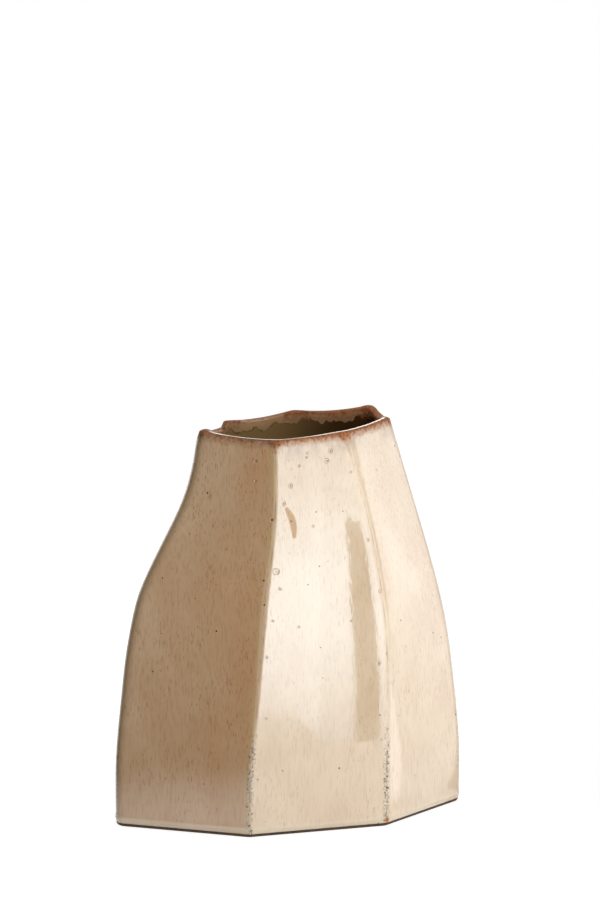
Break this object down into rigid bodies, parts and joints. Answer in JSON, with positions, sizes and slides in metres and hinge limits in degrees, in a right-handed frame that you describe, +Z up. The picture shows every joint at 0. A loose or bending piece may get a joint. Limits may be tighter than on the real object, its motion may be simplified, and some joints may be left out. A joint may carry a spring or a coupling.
{
  "type": "pillow vase",
  "caption": "Wide, flattened slab-built stoneware vase with irregular flat facets, a narrower open mouth with a wavy rim and a flat foot, for cut or dried flowers.",
  "frame": {"origin": "ground point under the middle of the vase's bounding box", "axes": "+X along the long way of the foot to the right seen from the front, -Y out of the wide front, +Z up out of the mouth"},
  "size_m": [0.186, 0.0968, 0.2107],
  "materials": {
    "wall_glaze": "glossy cream glaze with brown flecks, rust-brown where it thins at the rim",
    "inside_glaze": "thin glossy liner glaze over brown clay",
    "foot_clay": "bare fired stoneware, wiped clean of glaze underneath",
    "luting_slip": "fired joining slip"
  },
  "bodies": {
    "root": {"base_slab": "foot_clay", "foot_slip": "luting_slip", "foot_coil": "inside_glaze", "left_front_slab": "wall_glaze", "centre_front_slab": "wall_glaze", "right_front_slab": "wall_glaze", "right_end_slab": "wall_glaze", "right_rear_slab": "wall_glaze", "left_rear_slab": "wall_glaze", "left_end_slab": "wall_glaze", "left_slip": "luting_slip", "front_left_slip": "luting_slip", "front_right_slip": "luting_slip", "right_front_slip": "luting_slip", "right_rear_slip": "luting_slip", "rear_slip": "luting_slip", "left_rear_slip": "luting_slip", "left_coil": "inside_glaze", "front_left_coil": "inside_glaze", "front_right_coil": "inside_glaze", "right_front_coil": "inside_glaze", "right_rear_coil": "inside_glaze", "rear_coil": "inside_glaze", "left_rear_coil": "inside_glaze"}
  },
  "joints": []
}
